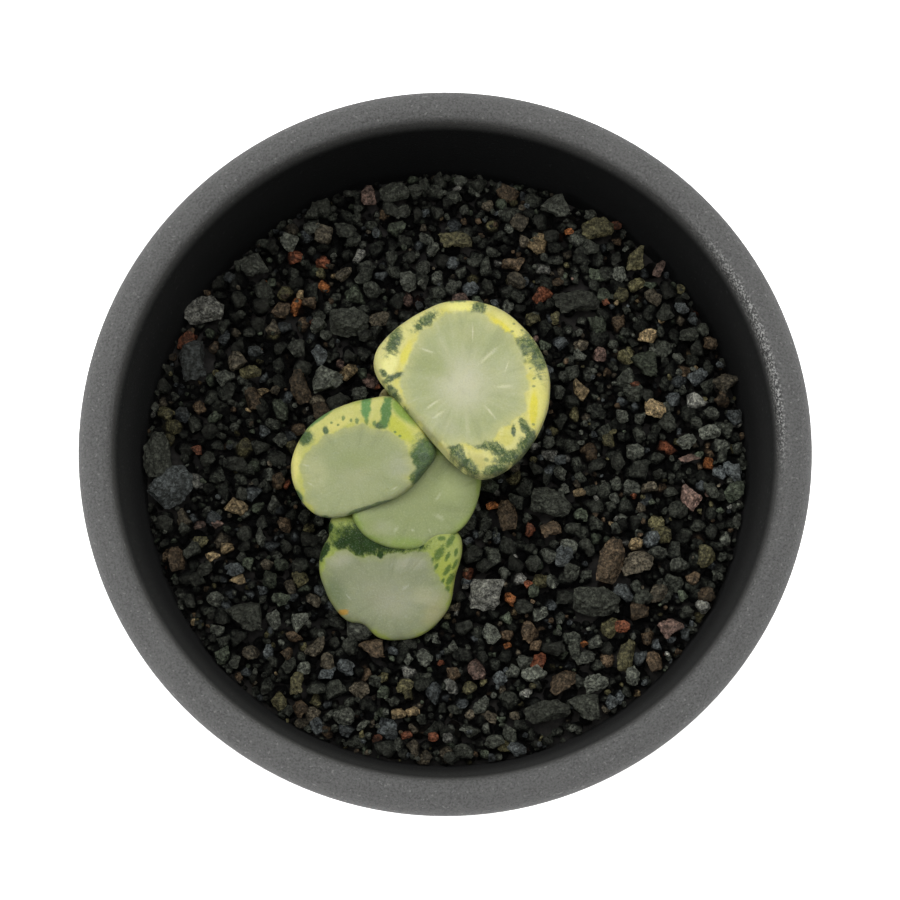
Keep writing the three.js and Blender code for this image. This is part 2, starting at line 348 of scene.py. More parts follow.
def plasticLook():
    material, shader, start = newMaterial("matt black plastic", IOR=1.3)
    place = start.node("TexCoord", output="Object")
    across, up, height = (place.node("SeparateXYZ", {}, {0: place}, output=axis) for axis in "XYZ")
    fromAxis = place.times((1, 1, 0)).length()
    moulded = place.noise(pot["grain"], 3, 0.7)
    cloudy = place.noise(60, 3, 0.6)
    specks = place.noise(2700, 1, 0.5).ramp(0.67, 0.73)
    base = start.paint(pot["plastic"])
    base = base.mixed(moulded.ramp(0.45, 0.65) * 0.45, pot["dusty"])
    base = base.mixed(moulded.ramp(0.5, 0.35) * 0.55, shaded(pot["plastic"], 0.4))
    base = base.mixed(cloudy.ramp(0.45, 0.8) * 0.2, pot["dusty"])
    base = base.mixed(specks * 0.5, (0.3, 0.3, 0.29))
    below = height.ramp(61 * mm, 54 * mm)  # painted light: the rim stays pale as if lit, the wall below is darker
    base = base.mixed(below * 0.88, shaded(pot["plastic"], 0.3))
    # Painted shade down the inside of the wall, below the lip.
    inside = (fromAxis - pot["wallSlope"] * height).ramp(24 * mm, 23.5 * mm)
    inside *= height.ramp(63.9 * mm, 61.6 * mm)
    base = base.mixed(inside * (0.8 + 5.5 * up), pot["paintedDark"])  # painted shade, less at the front where light falls on the wall
    # Painted glints: pale and dark specks on the rim's inner shoulder at the right, where light glances off.
    shoulder = fromAxis.ramp(33.6 * mm, 34.0 * mm) * fromAxis.ramp(35.0 * mm, 34.2 * mm)
    shoulder *= height.ramp(62.6 * mm, 63.4 * mm)
    paintedGlint = shoulder * across.ramp(23 * mm, 32 * mm) * up.ramp(-6 * mm, 4 * mm)
    glintSpecks = place.noise(4200, 2, 0.6)
    base = base.mixed(glintSpecks.ramp(0.5, 0.6) * paintedGlint * 0.75, (0.62, 0.62, 0.60))
    base = base.mixed(glintSpecks.ramp(0.47, 0.37) * paintedGlint * 0.6, pot["paintedDark"])
    drive(shader, "Base Color", base)
    drive(shader, "Roughness", 0.6 + 0.15 * moulded + 0.25 * inside - 0.2 * specks)
    bumped(start, shader, moulded + 0.3 * cloudy, 0.16 * mm)
    return material


leafSides = 56
leafBluntness = 7.5  # 2 would make the tops round
leafTrim = 0.97  # draws every outline in a little
cornerPower = 9  # how crisply two sides of an outline meet
sideFrom = 2.2  # where a leaf's side begins, below its crown (mm)

# Sizes and places in mm. A leaf's outline is an ellipse with flats (how far out, facing) and bulges (facing,
# how far out, spread). Washes stain the window and tints the margin, and a few washes are painted light;
# patches and dots are green on the margin, marks lie on its edge, partly as painted shade, and spots on top.
# Each is across, up, half-length, half-width, turned, and for washes, tints and spots a colour.
backLeaf = {
    "foot": (-0.55, 1.45, 43),
    "crown": (1.65, 5.86, 65.6),
    "tilt": 4,
    "towards": 60,
    "setBack": 0,
    "capHeight": 3.0,
    "halfLong": 9.7,
    "halfShort": 9.4,
    "turned": 79,
    "flats": [(5.85, 222)],
    "bulges": [(160, 0.45, 18), (116, -0.2, 16), (40, -0.1, 18), (289, 0.35, 12), (308, 0.2, 12)],
    "windowMiddle": (0.1, -0.1),
    "windowEdge": [
        (-5.7, 2.2), (-5.1, 3.8), (-4.3, 5.0), (-2.4, 7.1), (-0.2, 7.8), (2.1, 7.6), (3.9, 6.6),
        (5.5, 4.4), (6.6, 1.9), (6.9, 0.2), (6.6, -1.6), (5.7, -3.3), (4.3, -4.5), (2.9, -5.7),
        (0.6, -6.1), (-1.3, -6.2), (-2.9, -5.2), (-4.4, -3.7), (-5.6, -2.0), (-6.1, 0.2),
    ],
    "heart": (0.60, 0.60, 0.415),
    "glass": (0.43, 0.465, 0.235),
    "margin": (0.72, 0.69, 0.28),
    "deepMargin": (0.68, 0.63, 0.13),
    "side": (0.33, 0.38, 0.10),
    "streak": (0.76, 0.75, 0.52),
    "green": (0.062, 0.112, 0.040),
    "greyed": (0.118, 0.158, 0.105),
    "mottling": (0.29, 0.33, 0.13),
    "lacing": 0.9,
    "ragged": 1.0,
    "washes": [
        (-3.4, 2.2, 3.6, 1.7, -15, (0.37, 0.41, 0.18)), (4.6, 0.8, 2.6, 3.6, 0, (0.52, 0.54, 0.32)),
        (0.4, 5.6, 2.6, 1.6, 0, (0.47, 0.49, 0.25)), (-1.5, -4.2, 2.8, 1.6, -40, (0.47, 0.49, 0.30)),
    ],
    "tints": [
        (7.7, -1.9, 3.4, 1.5, 88, (0.84, 0.79, 0.25)), (7.35, -2.3, 2.6, 0.55, 88, (0.80, 0.72, 0.07)),
        (5.0, 6.4, 2.6, 1.3, -48, (0.84, 0.79, 0.27)), (4.3, 6.1, 2.3, 0.6, -42, (0.80, 0.72, 0.09)),
        (-5.7, 3.2, 2.0, 0.6, 70, (0.78, 0.72, 0.12)), (-7.3, 2.2, 2.0, 1.0, 70, (0.88, 0.85, 0.36)),
        (1.4, -7.9, 2.0, 1.0, -10, (0.58, 0.54, 0.19)), (0.5, 8.5, 3.0, 0.9, 0, (0.92, 0.88, 0.29)),
        (4.6, -5.6, 0.9, 0.9, 0, (0.66, 0.62, 0.16)),
    ],
    "patches": [
        (-6.9, 4.65, 1.7, 0.75, 70), (-3.6, 6.9, 1.5, 0.65, 35), (-4.3, 6.2, 0.7, 0.5, 70),
        (-0.4, 9.3, 1.0, 0.4, 0), (1.8, 8.2, 1.0, 0.8, 60), (1.3, 7.5, 0.6, 0.4, 0),
        (6.7, 4.3, 1.6, 1.15, 55), (7.8, 3.0, 1.9, 0.9, 105), (6.2, 3.7, 0.9, 0.7, 0),
        (-6.4, 1.05, 0.9, 0.35, 10), (-7.3, 0.7, 0.8, 0.4, 30), (-7.9, 1.3, 0.5, 0.25, 120),
        (5.3, -4.6, 0.7, 0.25, 90), (6.2, -4.0, 0.9, 0.35, 100), (6.7, -4.6, 1.5, 0.4, 115),
        (6.6, -5.9, 1.5, 0.7, 60), (7.2, -5.2, 0.9, 0.4, 70), (2.2, -6.1, 1.4, 0.6, -8),
        (3.7, -6.7, 1.2, 0.75, -45), (5.0, -7.3, 1.9, 0.75, 15), (3.4, -8.6, 1.5, 0.5, 15),
        (-0.4, -6.9, 1.2, 0.75, -50), (0.5, -8.0, 1.8, 0.6, -42), (-1.6, -7.4, 1.0, 0.4, -45),
        (-3.1, -6.0, 1.2, 0.3, -48), (-6.9, -0.6, 1.1, 0.35, -50), (-5.3, -2.8, 1.2, 0.25, -48),
    ],
    "dots": [
        (-8.2, 1.6, 0.25, 0.22, 0), (2.5, -7.7, 0.35, 0.25, 0), (7.4, 0.85, 0.24, 0.16, 40),
        (7.8, 1.3, 0.2, 0.15, 0), (7.35, 0.0, 0.24, 0.16, 0), (8.05, 0.8, 0.16, 0.14, 0),
        (7.3, -3.9, 0.22, 0.17, 0), (5.4, 6.65, 0.2, 0.15, 0), (5.2, 5.8, 0.24, 0.16, 0),
        (6.2, 6.0, 0.18, 0.15, 0), (7.0, 1.9, 0.2, 0.14, 20), (6.7, 6.4, 0.14, 0.12, 0),
    ],
    "streaks": [
        (2.75, 3.2, 1.85, 0.26, 42), (4.4, -0.05, 1.15, 0.24, 2), (2.9, -2.7, 1.1, 0.16, -50),
        (-2.9, -1.95, 1.2, 0.2, 37), (-2.3, -3, 0.85, 0.2, 34), (-3.5, 3.65, 0.95, 0.16, -18),
        (1.15, 5.6, 1.2, 0.12, 90), (4.6, 2, 0.8, 0.12, 70),
    ],
}

leftLeaf = {
    "foot": (-5.55, -1.75, 43),
    "crown": (-9.7, -3.15, 62.1),
    "tilt": 18,
    "towards": 236,
    "setBack": 1.6,
    "capHeight": 2.6,
    "halfLong": 7.7,
    "halfShort": 6.5,
    "turned": 19,
    "flats": [(4.7, 289), (6.1, 326)],
    "bulges": [(65, 1.05, 15), (90, 0.15, 12), (8, 0.8, 9), (195, -0.2, 20)],
    "windowMiddle": (0.3, 0.7),
    "windowEdge": [
        (1.5, 5.55), (-0.2, 5.2), (-1.7, 4.7), (-3.5, 3.7), (-4.8, 2.5), (-5.2, 1.2), (-4.95, -0.3),
        (-4.6, -2.2), (-3.0, -4.6), (0.2, -4.4), (3.8, -3.4), (6.0, -2.2), (6.5, -1.2), (6.1, 0.3),
        (6.9, 1.2), (6.3, 2.4), (5.6, 3.6), (3.8, 4.8),
    ],
    "heart": (0.40, 0.43, 0.235),
    "glass": (0.37, 0.41, 0.21),
    "margin": (0.62, 0.61, 0.21),
    "deepMargin": (0.52, 0.54, 0.11),
    "side": (0.22, 0.31, 0.07),
    "streak": (0.62, 0.63, 0.45),
    "green": (0.062, 0.120, 0.042),
    "greyed": (0.090, 0.135, 0.090),
    "mottling": (0.16, 0.25, 0.08),
    "lacing": 0.4,
    "ragged": 0.5,
    "washes": [
        # the first is painted light, on the left side where light falls
        (-3.6, 0.6, 2.0, 3.2, 15, (0.50, 0.52, 0.28)), (0.4, 2.0, 3.6, 1.6, 10, (0.33, 0.38, 0.17)),
        (5.2, 1.4, 2.2, 2.0, 0, (0.44, 0.46, 0.30)), (0.5, -3.0, 3.0, 1.0, 10, (0.40, 0.44, 0.23)),
    ],
    "tints": [
        (-6.2, 0.8, 3.0, 1.2, 78, (0.84, 0.78, 0.26)), (-1.6, 5.4, 2.6, 0.7, 28, (0.70, 0.66, 0.22)),
        (5.0, 5.2, 2.6, 1.1, -40, (0.56, 0.58, 0.07)), (5.4, 7.0, 2.6, 0.9, -45, (0.19, 0.33, 0.05)),
        (0.6, 8.3, 2.2, 0.9, 10, (0.42, 0.50, 0.13)), (-4.4, 5.6, 2.0, 0.7, 38, (0.36, 0.45, 0.15)),
    ],
    "patches": [
        (3.2, 5.5, 0.7, 0.4, 10), (-4.75, 4.1, 0.9, 0.8, 30), (-2.55, 4.9, 0.3, 0.45, 10),
        (-5.6, -1.9, 0.8, 0.5, -45), (7.6, 2.2, 2.6, 1.5, 75), (7.6, 0.4, 2.6, 1.4, 65),
        (6.8, -1.4, 1.3, 0.9, 40), (-4.6, -3.9, 1.2, 0.4, -50),
    ],
    "dots": [
        (0.7, 5.95, 0.25, 0.4, 0), (1.7, 5.9, 0.28, 0.45, 0), (2.5, 5.7, 0.28, 0.35, 0),
        (-0.7, 6.2, 0.22, 0.36, 0), (-1.95, 5.7, 0.18, 0.17, 0), (-1.25, 5.5, 0.18, 0.17, 0),
        (4.65, 4.85, 0.18, 0.16, 0), (5.15, 4.45, 0.2, 0.17, 0), (0.1, 6.0, 0.18, 0.25, 0),
    ],
    # dark green marks along the lower edge: the leaf's own green, and painted shade where it meets the middle
    # leaf
    "marks": [(1.3, -3.2, 2.0, 0.36, 17), (3.6, -2.45, 1.9, 0.3, 12), (-2.2, -4.3, 1.4, 0.32, -20)],
    "spots": [
        (3.7, 6.9, 2.3, 0.75, 84, (0.12, 0.24, 0.07)), (1.6, 7.4, 1.7, 0.7, 95, (0.15, 0.31, 0.10)),
        (-3.4, 6.1, 2.6, 0.4, 36, (0.17, 0.30, 0.10)),
    ],
    "streaks": [(-4.6, 1.3, 0.5, 0.14, -10), (4.6, -0.9, 0.5, 0.14, 30), (-4.2, -0.6, 0.5, 0.12, -30)],
}

middleLeaf = {
    "foot": (-1.05, -3.95, 43),
    "crown": (-2.7, -5.2, 60.3),
    "tilt": 16,
    "towards": 293,
    "setBack": 0.6,
    "capHeight": 2.0,
    "halfLong": 7.05,
    "halfShort": 5.5,
    "turned": 23,
    "flats": [(5.0, 113)],
    "bulges": [(325, 0.3, 20), (25, 0.3, 20)],
    "windowMiddle": (0, 0),
    "windowEdge": [
        (6.1, 0.4), (5.8, 2.6), (4.2, 4.4), (1.2, 5.0), (-2.0, 4.2), (-4.8, 2.6), (-6.6, 0.2),
        (-6.2, -2.0), (-4.4, -3.9), (-1.8, -4.7), (1.2, -4.6), (3.9, -3.4), (5.5, -1.6),
    ],
    "heart": (0.33, 0.375, 0.175),
    "glass": (0.32, 0.37, 0.17),
    "margin": (0.33, 0.42, 0.12),
    "deepMargin": (0.27, 0.37, 0.09),
    "side": (0.14, 0.23, 0.04),
    "streak": (0.55, 0.58, 0.38),
    "green": (0.09, 0.16, 0.05),
    "washes": [
        # the first is painted light, cancelling the back leaf's shadow
        (3.8, 1.6, 3.0, 2.6, 20, (0.47, 0.53, 0.25)), (-3.6, -2.6, 1.8, 1.2, 0, (0.40, 0.43, 0.25)),
        (-0.8, -4.5, 4.2, 1.2, -6, (0.29, 0.40, 0.09)), (4.8, -2.6, 3.0, 1.1, 48, (0.36, 0.46, 0.13)),
    ],
    "streaks": [
        (2, 0.45, 0.75, 0.22, 55), (2.1, -1.65, 0.7, 0.32, -28), (-2.35, -2.85, 0.5, 0.26, 60),
        (-0.65, -2.95, 0.25, 0.26, 90), (1.1, -3, 0.3, 0.16, -60),
    ],
}

frontLeaf = {
    "foot": (-3.75, -6.35, 43),
    "crown": (-5.3, -13.53, 56.8),
    "tilt": 26,
    "towards": 264,
    "setBack": 1.5,
    "capHeight": 2.6,
    "halfLong": 8.0,
    "halfShort": 7.85,
    "turned": 42,
    "flats": [(5.2, 84), (6.5, 346)],
    "bulges": [
        (240.5, -1.1, 9), (216, -0.15, 10), (300, -0.15, 18), (325, 0.3, 14), (20, 0.35, 14),
        (140, 1.2, 11), (153, -0.4, 5), (166, 0.15, 6), (178, 0.3, 10),
    ],
    "windowMiddle": (-0.8, -1.2),
    "windowEdge": [
        (-7.6, 1.2), (-7.1, 2.8), (-6.0, 3.7), (-4.7, 3.75), (-3.9, 3.15), (-3.0, 3.1), (-2.1, 3.3),
        (-1.4, 2.8), (-0.9, 3.4), (0.2, 3.5), (1.0, 3.7), (2.1, 4.0), (3.0, 3.9), (3.7, 3.0), (4.0, 1.7),
        (5.3, 0.1), (5.8, -1.1), (5.5, -2.5), (4.6, -3.9), (3.2, -5.1), (0.2, -5.9), (-2.0, -4.8),
        (-5.0, -3.7), (-7.0, -1.3),
    ],
    "heart": (0.36, 0.375, 0.245),
    "glass": (0.32, 0.35, 0.21),
    "margin": (0.40, 0.46, 0.13),
    "deepMargin": (0.32, 0.40, 0.07),
    "side": (0.13, 0.22, 0.03),
    "streak": (0.50, 0.51, 0.40),
    # these greens are the leaf's own, made darker as painted shade under the middle leaf
    "green": (0.009, 0.036, 0.003),
    "greyed": (0.012, 0.048, 0.008),
    "mottling": (0.075, 0.150, 0.030),
    "lacing": 0.07,
    "ragged": 0.6,
    "washes": [
        (-5.8, 2.9, 2.2, 1.3, 10, (0.46, 0.46, 0.34)), (-6.2, -0.8, 3.0, 1.8, 110, (0.185, 0.235, 0.115)),
        (-3.4, -5.0, 2.6, 1.6, -40, (0.28, 0.31, 0.14)), (4.4, -2.6, 3.2, 1.7, 60, (0.43, 0.41, 0.21)),
        (0.2, -1.8, 3.2, 2.2, 0, (0.40, 0.41, 0.28)), (1.6, 2.6, 2.6, 1.3, 10, (0.47, 0.48, 0.34)),
        (3.2, -1.0, 2.0, 1.6, 0, (0.46, 0.46, 0.29)), (5.3, -3.8, 2.8, 0.9, 62, (0.56, 0.50, 0.19)),
    ],
    "tints": [
        (-5.9, 5.4, 1.5, 1.3, 40, (0.20, 0.26, 0.05)), (5.6, 1.4, 3.6, 1.6, 110, (0.42, 0.48, 0.09)),
        (5.0, -4.8, 3.4, 0.8, 60, (0.50, 0.50, 0.14)),
    ],
    "patches": [
        (-1.6, 5.2, 4.6, 1.9, -5), (-3.3, 4.7, 2.8, 1.6, -14), (-1.35, 3.3, 0.5, 0.8, 0),
        (-5.2, 4.6, 1.2, 0.8, 20), (-7.2, 3.5, 1.3, 0.4, 60), (-6.7, 5.9, 0.8, 0.4, 60),
        (1.8, 4.6, 1.4, 0.6, -10),
    ],
    "dots": [
        (4.7, 3.7, 0.5, 1.15, -28), (3.9, 2.75, 0.28, 0.6, -20), (4.35, 2.2, 0.26, 0.6, -30),
        (5.8, 4.9, 0.4, 0.9, -35), (5.5, 1.8, 0.34, 0.95, -30), (6.3, 2.4, 0.26, 0.8, -28),
        (5.8, 0.75, 0.42, 1.0, -28), (5.05, 0.6, 0.2, 0.55, -20), (5.5, -0.35, 0.34, 0.6, -10),
        (5.55, 3.3, 0.24, 0.7, -25), (4.9, 5.2, 0.5, 0.3, 0), (6.4, 3.7, 0.24, 0.55, -10),
    ],
    "spots": [(-5.2, -2.9, 0.8, 0.4, 20, (0.56, 0.34, 0.07))],
    "streaks": [(1.2, -0.1, 0.6, 0.24, 40), (-4.7, -1.2, 0.5, 0.12, -50)],
}

leaves = {"backLeaf": backLeaf, "leftLeaf": leftLeaf, "middleLeaf": middleLeaf, "frontLeaf": frontLeaf}


def leaning(tilt, towards):
    out = math.sin(math.radians(tilt))
    bearing = math.radians(towards)
    return Vector((out * math.cos(bearing), out * math.sin(bearing), math.cos(math.radians(tilt))))


# How far an outline lies from its middle on a bearing: an ellipse with flatter sides.
def outlineRadius(long, short, turned, flats, bearing):
    fromLong = bearing - math.radians(turned)
    total = math.hypot(math.cos(fromLong) / long, math.sin(fromLong) / short) ** cornerPower
    for distance, facing in flats:
        total += max(0, math.cos(bearing - math.radians(facing)) / distance) ** cornerPower
    return total ** (-1 / cornerPower)


def leafRadius(leaf, bearing):
    radius = outlineRadius(leaf["halfLong"], leaf["halfShort"], leaf["turned"], leaf["flats"], bearing)
    for facing, by, spread in leaf["bulges"]:
        away = (math.degrees(bearing) - facing + 180) % 360 - 180
        radius += by * math.exp(-((away / spread) ** 2))
    return radius * leafTrim


def sectionAxes(along):
    first = Vector((1, 0, 0)) - along * along.x
    first.normalize()
    return first, along.cross(first)


# How far a window's edge lies from its middle on a bearing, from the points drawn along it.
def windowRadius(leaf, bearing):
    x, y = leaf["windowMiddle"]
    bearings = [math.atan2(v - y, u - x) for u, v in leaf["windowEdge"]]
    lengths = [math.hypot(u - x, v - y) for u, v in leaf["windowEdge"]]
    return float(np.interp(bearing, bearings, lengths, period=2 * math.pi))


# The middle, direction and size of each ring of a leaf, from its foot to its crown.
def leafRings(leaf):
    facing = leaning(leaf["tilt"], leaf["towards"])
    downhill = leaning(leaf["tilt"] + 90, leaf["towards"])
    foot, crown = Vector(leaf["foot"]), Vector(leaf["crown"])
    neck = crown - facing * leaf["capHeight"] - downhill * leaf["setBack"]
    rise = (neck - foot).length
    spine = (foot, foot + Vector((0, 0, 0.3 * rise)), neck - facing * 0.35 * rise, neck)
    rings = []
    for i in range(8):
        way = i / 7
        place, along = bezier(spine, way)
        rings.append((place, along, 0.4 + 0.6 * way ** 1.4))
    for turn in (1, 4, 9, 16, 25, 36, 48, 59, 68, 75, 81, 85, 88):  # degrees round the edge of the top
        share = math.cos(math.radians(turn)) ** (2 / leafBluntness)
        lift = leaf["capHeight"] * math.sin(math.radians(turn)) ** (2 / leafBluntness)
        rings.append((neck + facing * lift + downhill * leaf["setBack"] * (1 - share), facing, share))
    return rings


def makeLeaf(name, leaf):
    blade = startRing(name, leafSides, 1)
    for vertex in blade.data.vertices:
        vertex.co *= leafRadius(leaf, math.atan2(vertex.co.y, vertex.co.x))
    inEditMode()
    pullAlong(leafRings(leaf))
    bpy.ops.mesh.edge_face_add()
    bpy.ops.mesh.poke()
    closeEnds()
    inObjectMode()
    useModifier(blade, "SUBSURF", levels=2, render_levels=2)
    waves = bpy.data.textures.new(name + " waves", "CLOUDS")
    waves.noise_scale = 5 * mm
    useModifier(blade, "DISPLACE", texture=waves, strength=0.35 * mm, mid_level=0.5)
    outwardNormals(blade)
    pick(blade)
    bpy.ops.object.shade_smooth()
    noteLeafPlaces(blade, leaf)
    return blade


# Each point of a leaf notes where it lies from the crown (mm), and how far out it is in the window.
def noteLeafPlaces(blade, leaf):
    facing = leaning(leaf["tilt"], leaf["towards"])
    first, second = sectionAxes(facing)
    x, y = leaf["windowMiddle"]
    places, shares = [], []
    for vertex in blade.data.vertices:
        away = vertex.co / mm - Vector(leaf["crown"])
        across, up, over = away.dot(first), away.dot(second), away.dot(facing)
        share = math.hypot(across - x, up - y) / windowRadius(leaf, math.atan2(up - y, across - x))
        places += [across, up, over]
        shares.append(share + max(0, -over - sideFrom) * 0.5)  # no window on the side
    noted(blade, "leafPlace", "FLOAT_VECTOR", places)
    noted(blade, "windowShare", "FLOAT", shares)


# 1 in the middle of the nearest blob, 0 on its edge.
def blobField(place, blobs):
    field = None
    for across, up, long, wide, turned in blobs:
        inputs = {"Vector": place, "Location": (across, up, 0), "Scale": (long, wide, 30)}
        inputs["Rotation"] = (0, 0, math.radians(turned))
        blob = 1 - place.node("Mapping", {"vector_type": "TEXTURE"}, inputs).length()
        field = field.over(blob) if field else blob
    return field


# Lays soft blotches of their own colours over a base: stains, and in places painted light.
def stainedAndLit(base, place, blotches, wander, soft, strength):
    for across, up, long, wide, turned, tone in blotches:
        blotch = blobField(place, [(across, up, long, wide, turned)]) + wander
        base = base.mixed(blotch.ramp(0.0, soft) * strength, tone)
    return base


# What a leaf's colours are worked out from: places on the leaf, and noises of several kinds.
LeafMaps = namedtuple("LeafMaps", "place share edge depth fine mottle lacy lace fans streaky")


def leafMaps(start, leaf):
    place = start.node("Attribute", {"attribute_name": "leafPlace"}, output="Vector")
    share = start.node("Attribute", {"attribute_name": "windowShare"}, output="Fac")
    depth = -place.node("SeparateXYZ", {}, {0: place}, output="Z")
    x, y = leaf["windowMiddle"]
    flat = place.plus((-x, -y, 0)).times((1, 1, 0))
    spoke = flat.unit()
    fine = place.noise(5.5, 3, 0.7)
    mottle = place.noise(0.7, 4, 0.6)
    lacy = place.noise(1.3, 4, 0.7)
    lace = place.noise(3.4, 4, 0.75)
    fans = spoke.times((3.4, 3.4, 0)).plus(flat.times((0.12, 0.12, 0))).noise(1.0, 4, 0.6)
    streaky = spoke.times((9, 9, 0)).plus(flat.times((0.4, 0.4, 0))).noise(1.0, 4, 0.7)
    edge = share + 0.26 * (spoke.noise(3.4, 1, 0.5) - 0.5) + 0.1 * (streaky - 0.5) + 0.07 * (lacy - 0.5)
    return LeafMaps(place, share, edge, depth, fine, mottle, lacy, lace, fans, streaky)


def windowPaint(start, leaf, at):
    inner = start.paint(leaf["glass"])
    inner = inner.mixed((0.68 - at.share).ramp(0.0, 0.62), leaf["heart"])
    inner = stainedAndLit(inner, at.place, leaf["washes"], 0.5 * (at.mottle - 0.5), 0.8, 0.75)
    inner = inner.mixed(at.edge.ramp(0.8, 1.0) * 0.3, leaf["margin"])
    rays = at.share.ramp(0.2, 0.65)
    inner = inner.mixed(at.fans.ramp(0.5, 0.7) * rays * 0.3, shaded(leaf["heart"], 1.12))
    inner = inner.mixed(at.fans.ramp(0.5, 0.32) * rays * 0.45, shaded(leaf["glass"], 0.78))
    inner = inner.mixed(at.mottle.ramp(0.52, 0.75) * 0.25, shaded(leaf["glass"], 0.8))
    streaks = blobField(at.place, leaf["streaks"]) + 0.9 * (at.fine - 0.5)
    return inner.mixed(streaks.ramp(-0.2, 1.1) * 0.6, leaf["streak"])


def marginPaint(start, leaf, at):
    around = at.place.times((1, 1, 0)).unit().times((6, 6, 0))
    stripes = around.plus(at.place.times((0, 0, 0.1))).noise(1.0, 3, 0.6)
    margin = start.paint(leaf["margin"])
    margin = margin.mixed(stripes.ramp(0.45, 0.7) * 0.4, leaf["deepMargin"])
    margin = margin.mixed(at.edge.ramp(1.2, 1.04) * at.mottle.ramp(0.4, 0.56) * 0.6, leaf["deepMargin"])
    margin = stainedAndLit(margin, at.place, leaf.get("tints", []), 0.5 * (at.mottle - 0.5), 0.6, 0.85)
    margin = margin.mixed(at.lacy.ramp(0.5, 0.68) * 0.18, shaded(leaf["deepMargin"], 0.75))
    margin = margin.mixed(at.depth.ramp(0.4, 1.6) * 0.5, shaded(leaf["margin"], 1.5))  # painted light: paler towards the edge, to cancel its shading
    margin = margin.mixed(at.depth.ramp(2.5, 10) * 0.85, leaf["side"])
    stripe = (stripes + 0.25 * (at.place.noise(1.1, 3, 0.6) - 0.5)).ramp(0.54, 0.64) * at.depth.ramp(2.2, 4)
    return margin.mixed(stripe, leaf["green"])


def greenPaint(start, leaf, at):
    ragged = 0.5 * at.lace + 0.5 * at.streaky
    green = start.paint(leaf["green"])
    green = green.mixed(at.mottle.ramp(0.44, 0.56) * 0.7, leaf["greyed"])
    green = green.mixed(ragged.ramp(0.49, 0.57) * leaf["lacing"], leaf["mottling"])
    return green.mixed(ragged.ramp(0.48, 0.41) * 0.6, shaded(leaf["green"], 0.55))


def patched(margin, green, leaf, at):
    dots = blobField(at.place, leaf["dots"]) + 1.3 * (at.lace - 0.5) + 0.8 * (at.streaky - 0.5)
    margin = margin.mixed(dots.ramp(-0.1, 0.55) * 0.85, leaf["mottling"])
    wander = (1.4 * (at.lacy - 0.5) + 1.8 * (at.streaky - 0.5) + 1.2 * (at.lace - 0.5)) * leaf["ragged"]
    patches = blobField(at.place, leaf["patches"]) + wander
    margin = margin.mixed(patches.ramp(-0.4, 0.15) * 0.4, leaf["mottling"])
    return margin.mixed(patches.ramp(-0.12, 0.4) * 0.96, green)


def leafLook(name, leaf):
    material, shader, start = newMaterial(name + " skin", IOR=1.3, Subsurface_Weight=0.4)
    shader.inputs["Subsurface Radius"].default_value = (1.0, 0.8, 0.3)
    shader.inputs["Subsurface Scale"].default_value = 1.3 * mm
    at = leafMaps(start, leaf)
    margin = marginPaint(start, leaf, at)
    if "patches" in leaf:
        green = greenPaint(start, leaf, at)
        margin = patched(margin, green, leaf, at)
    skin = windowPaint(start, leaf, at).mixed(at.edge.ramp(0.97, 1.04), margin)
    # marks: dark green on the edge, partly painted shade where leaves meet
    if "marks" in leaf:
        marks = blobField(at.place, leaf["marks"]) + 1.2 * (at.lacy - 0.5)
        skin = skin.mixed(marks.ramp(0.0, 0.3) * 0.75, green)
    skin = stainedAndLit(skin, at.place, leaf.get("spots", []), 1.2 * (at.lacy - 0.5), 0.5, 1.0)
    skin = skin.mixed(at.fine.ramp(0.5, 0.72) * 0.1, (0.9, 0.9, 0.78))
    skin = skin.mixed(at.fine.ramp(0.5, 0.3) * 0.1, (0.08, 0.12, 0.03))
    drive(shader, "Base Color", skin)
    drive(shader, "Roughness", 0.5 + 0.25 * (at.mottle - 0.5) + 0.15 * at.edge.ramp(0.97, 1.04))
    bumped(start, shader, at.fine + 0.8 * at.fans, 0.07 * mm, 0.6)
    return material


# A scrap of an old leaf, dried to a tip, caught between the left leaf and the one at the back.
dried = {
    "place": (-6.3, 5.9, 58.8),
    "radius": 0.55,
    "steps": ((0.8, 0.02, 0.95), (0.7, 0.06, 0.85), (0.6, 0.12, 0.7), (0.5, 0.2, 0.4)),  # rise, back, share
    "straw": (0.44, 0.38, 0.22),
    "dark": (0.20, 0.16, 0.05),
}


def makeDriedTip():
    tip = startRing("driedTip", 10, dried["radius"])
    inEditMode()
    bpy.ops.transform.resize(value=(1.1, 0.5, 1))
    for rise, back, share in dried["steps"]:
        step = (0.2 * back * mm, back * mm, rise * mm)
        bpy.ops.mesh.extrude_region_move(TRANSFORM_OT_translate={"value": step})
        bpy.ops.transform.resize(value=(share, share, share))
    bpy.ops.mesh.edge_face_add()
    bpy.ops.mesh.poke()
    closeEnds()
    bpy.ops.mesh.select_all(action="SELECT")
    bpy.ops.transform.translate(value=Vector(dried["place"]) * mm)
    inObjectMode()
    useModifier(tip, "SUBSURF", levels=1, render_levels=1)
    outwardNormals(tip)
    smoothed(tip, 60)
    return tip


def driedLook():
    material, shader, start = newMaterial("dried leaf", Roughness=0.8)
    place = start.node("TexCoord", output="Object")
    base = start.paint(dried["straw"])
    base = base.mixed(place.noise(1500, 3, 0.6).ramp(0.45, 0.65), dried["dark"])
    drive(shader, "Base Color", base)
    bumped(start, shader, place.noise(2500, 3, 0.6), 0.15 * mm)
    return material


buriedStem = {
    "middle": (-2.6, -2.2),
    "rootsFrom": 41,
    "roots": 6,
    "rootRadius": 1.35,
    "rootPath": ((0, 0), (6, 4.8), (9, 12.8), (9, 23.5)),  # out, down
    "rootWander": 0.2,
    "rootTip": 0.38,  # of the radius where it starts
    "flesh": (0.46, 0.33, 0.19),
    "bark": (0.26, 0.17, 0.09),
}


